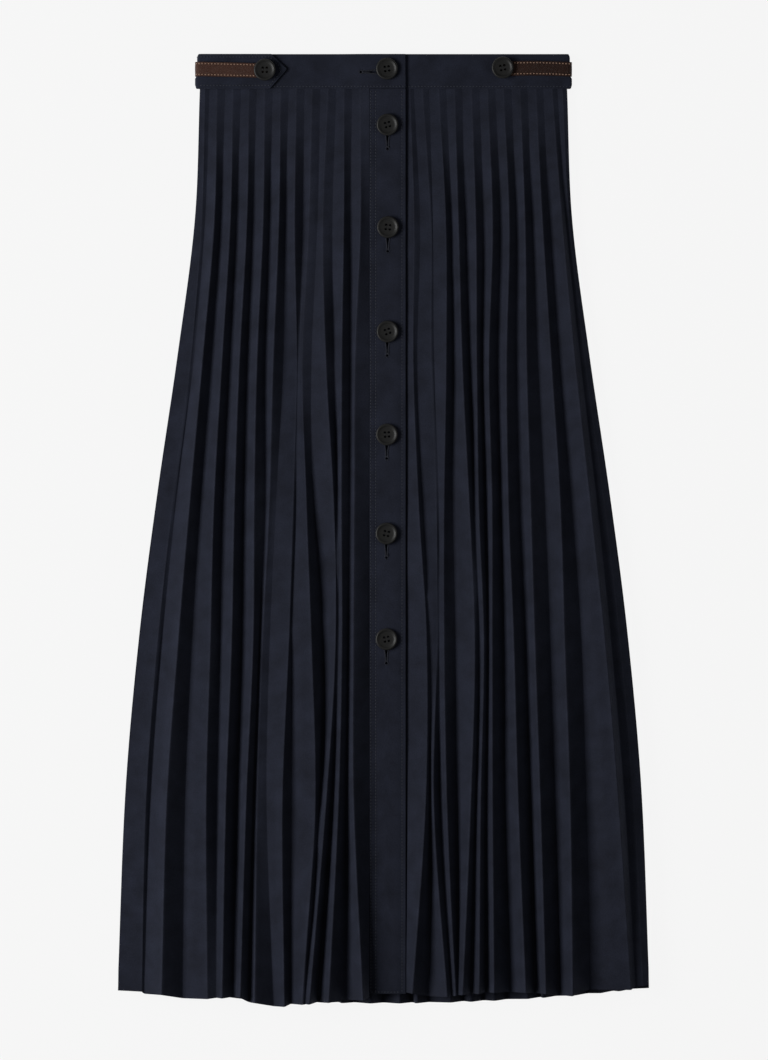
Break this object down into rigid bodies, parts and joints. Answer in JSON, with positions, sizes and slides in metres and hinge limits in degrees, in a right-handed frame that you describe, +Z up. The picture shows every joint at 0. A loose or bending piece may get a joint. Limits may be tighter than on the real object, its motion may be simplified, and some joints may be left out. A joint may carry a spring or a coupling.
{
  "type": "pleated midi skirt",
  "caption": "Pleated button-through midi skirt laid flat, with a placket, a waistband, a pointed side tab and a leather strap buttoned at both sides.",
  "frame": {"origin": "middle of the laid skirt's footprint, on the surface it lies on", "axes": "+Y from the hem to the waist, +X to the right seen from above, +Z up out of the front"},
  "size_m": [0.4778, 0.8572, 0.0321],
  "materials": {
    "navy_cloth": "matt navy crepe with pressed pleats",
    "brown_leather": "smooth brown leather with tan stitching",
    "dark_button": "charcoal horn look, satin"
  },
  "bodies": {
    "root": {"front_panel_left": "navy_cloth", "front_panel_right": "navy_cloth", "back_panel": "navy_cloth", "placket_over": "navy_cloth", "placket_under": "navy_cloth", "waistband_front_left": "navy_cloth", "waistband_front_right": "navy_cloth", "waistband_back": "navy_cloth", "side_tab_left": "navy_cloth", "leather_strap": "brown_leather", "button_waist": "dark_button", "button_1": "dark_button", "button_2": "dark_button", "button_3": "dark_button", "button_4": "dark_button", "button_5": "dark_button", "button_6": "dark_button", "button_side_left": "dark_button", "button_side_right": "dark_button"}
  },
  "joints": []
}
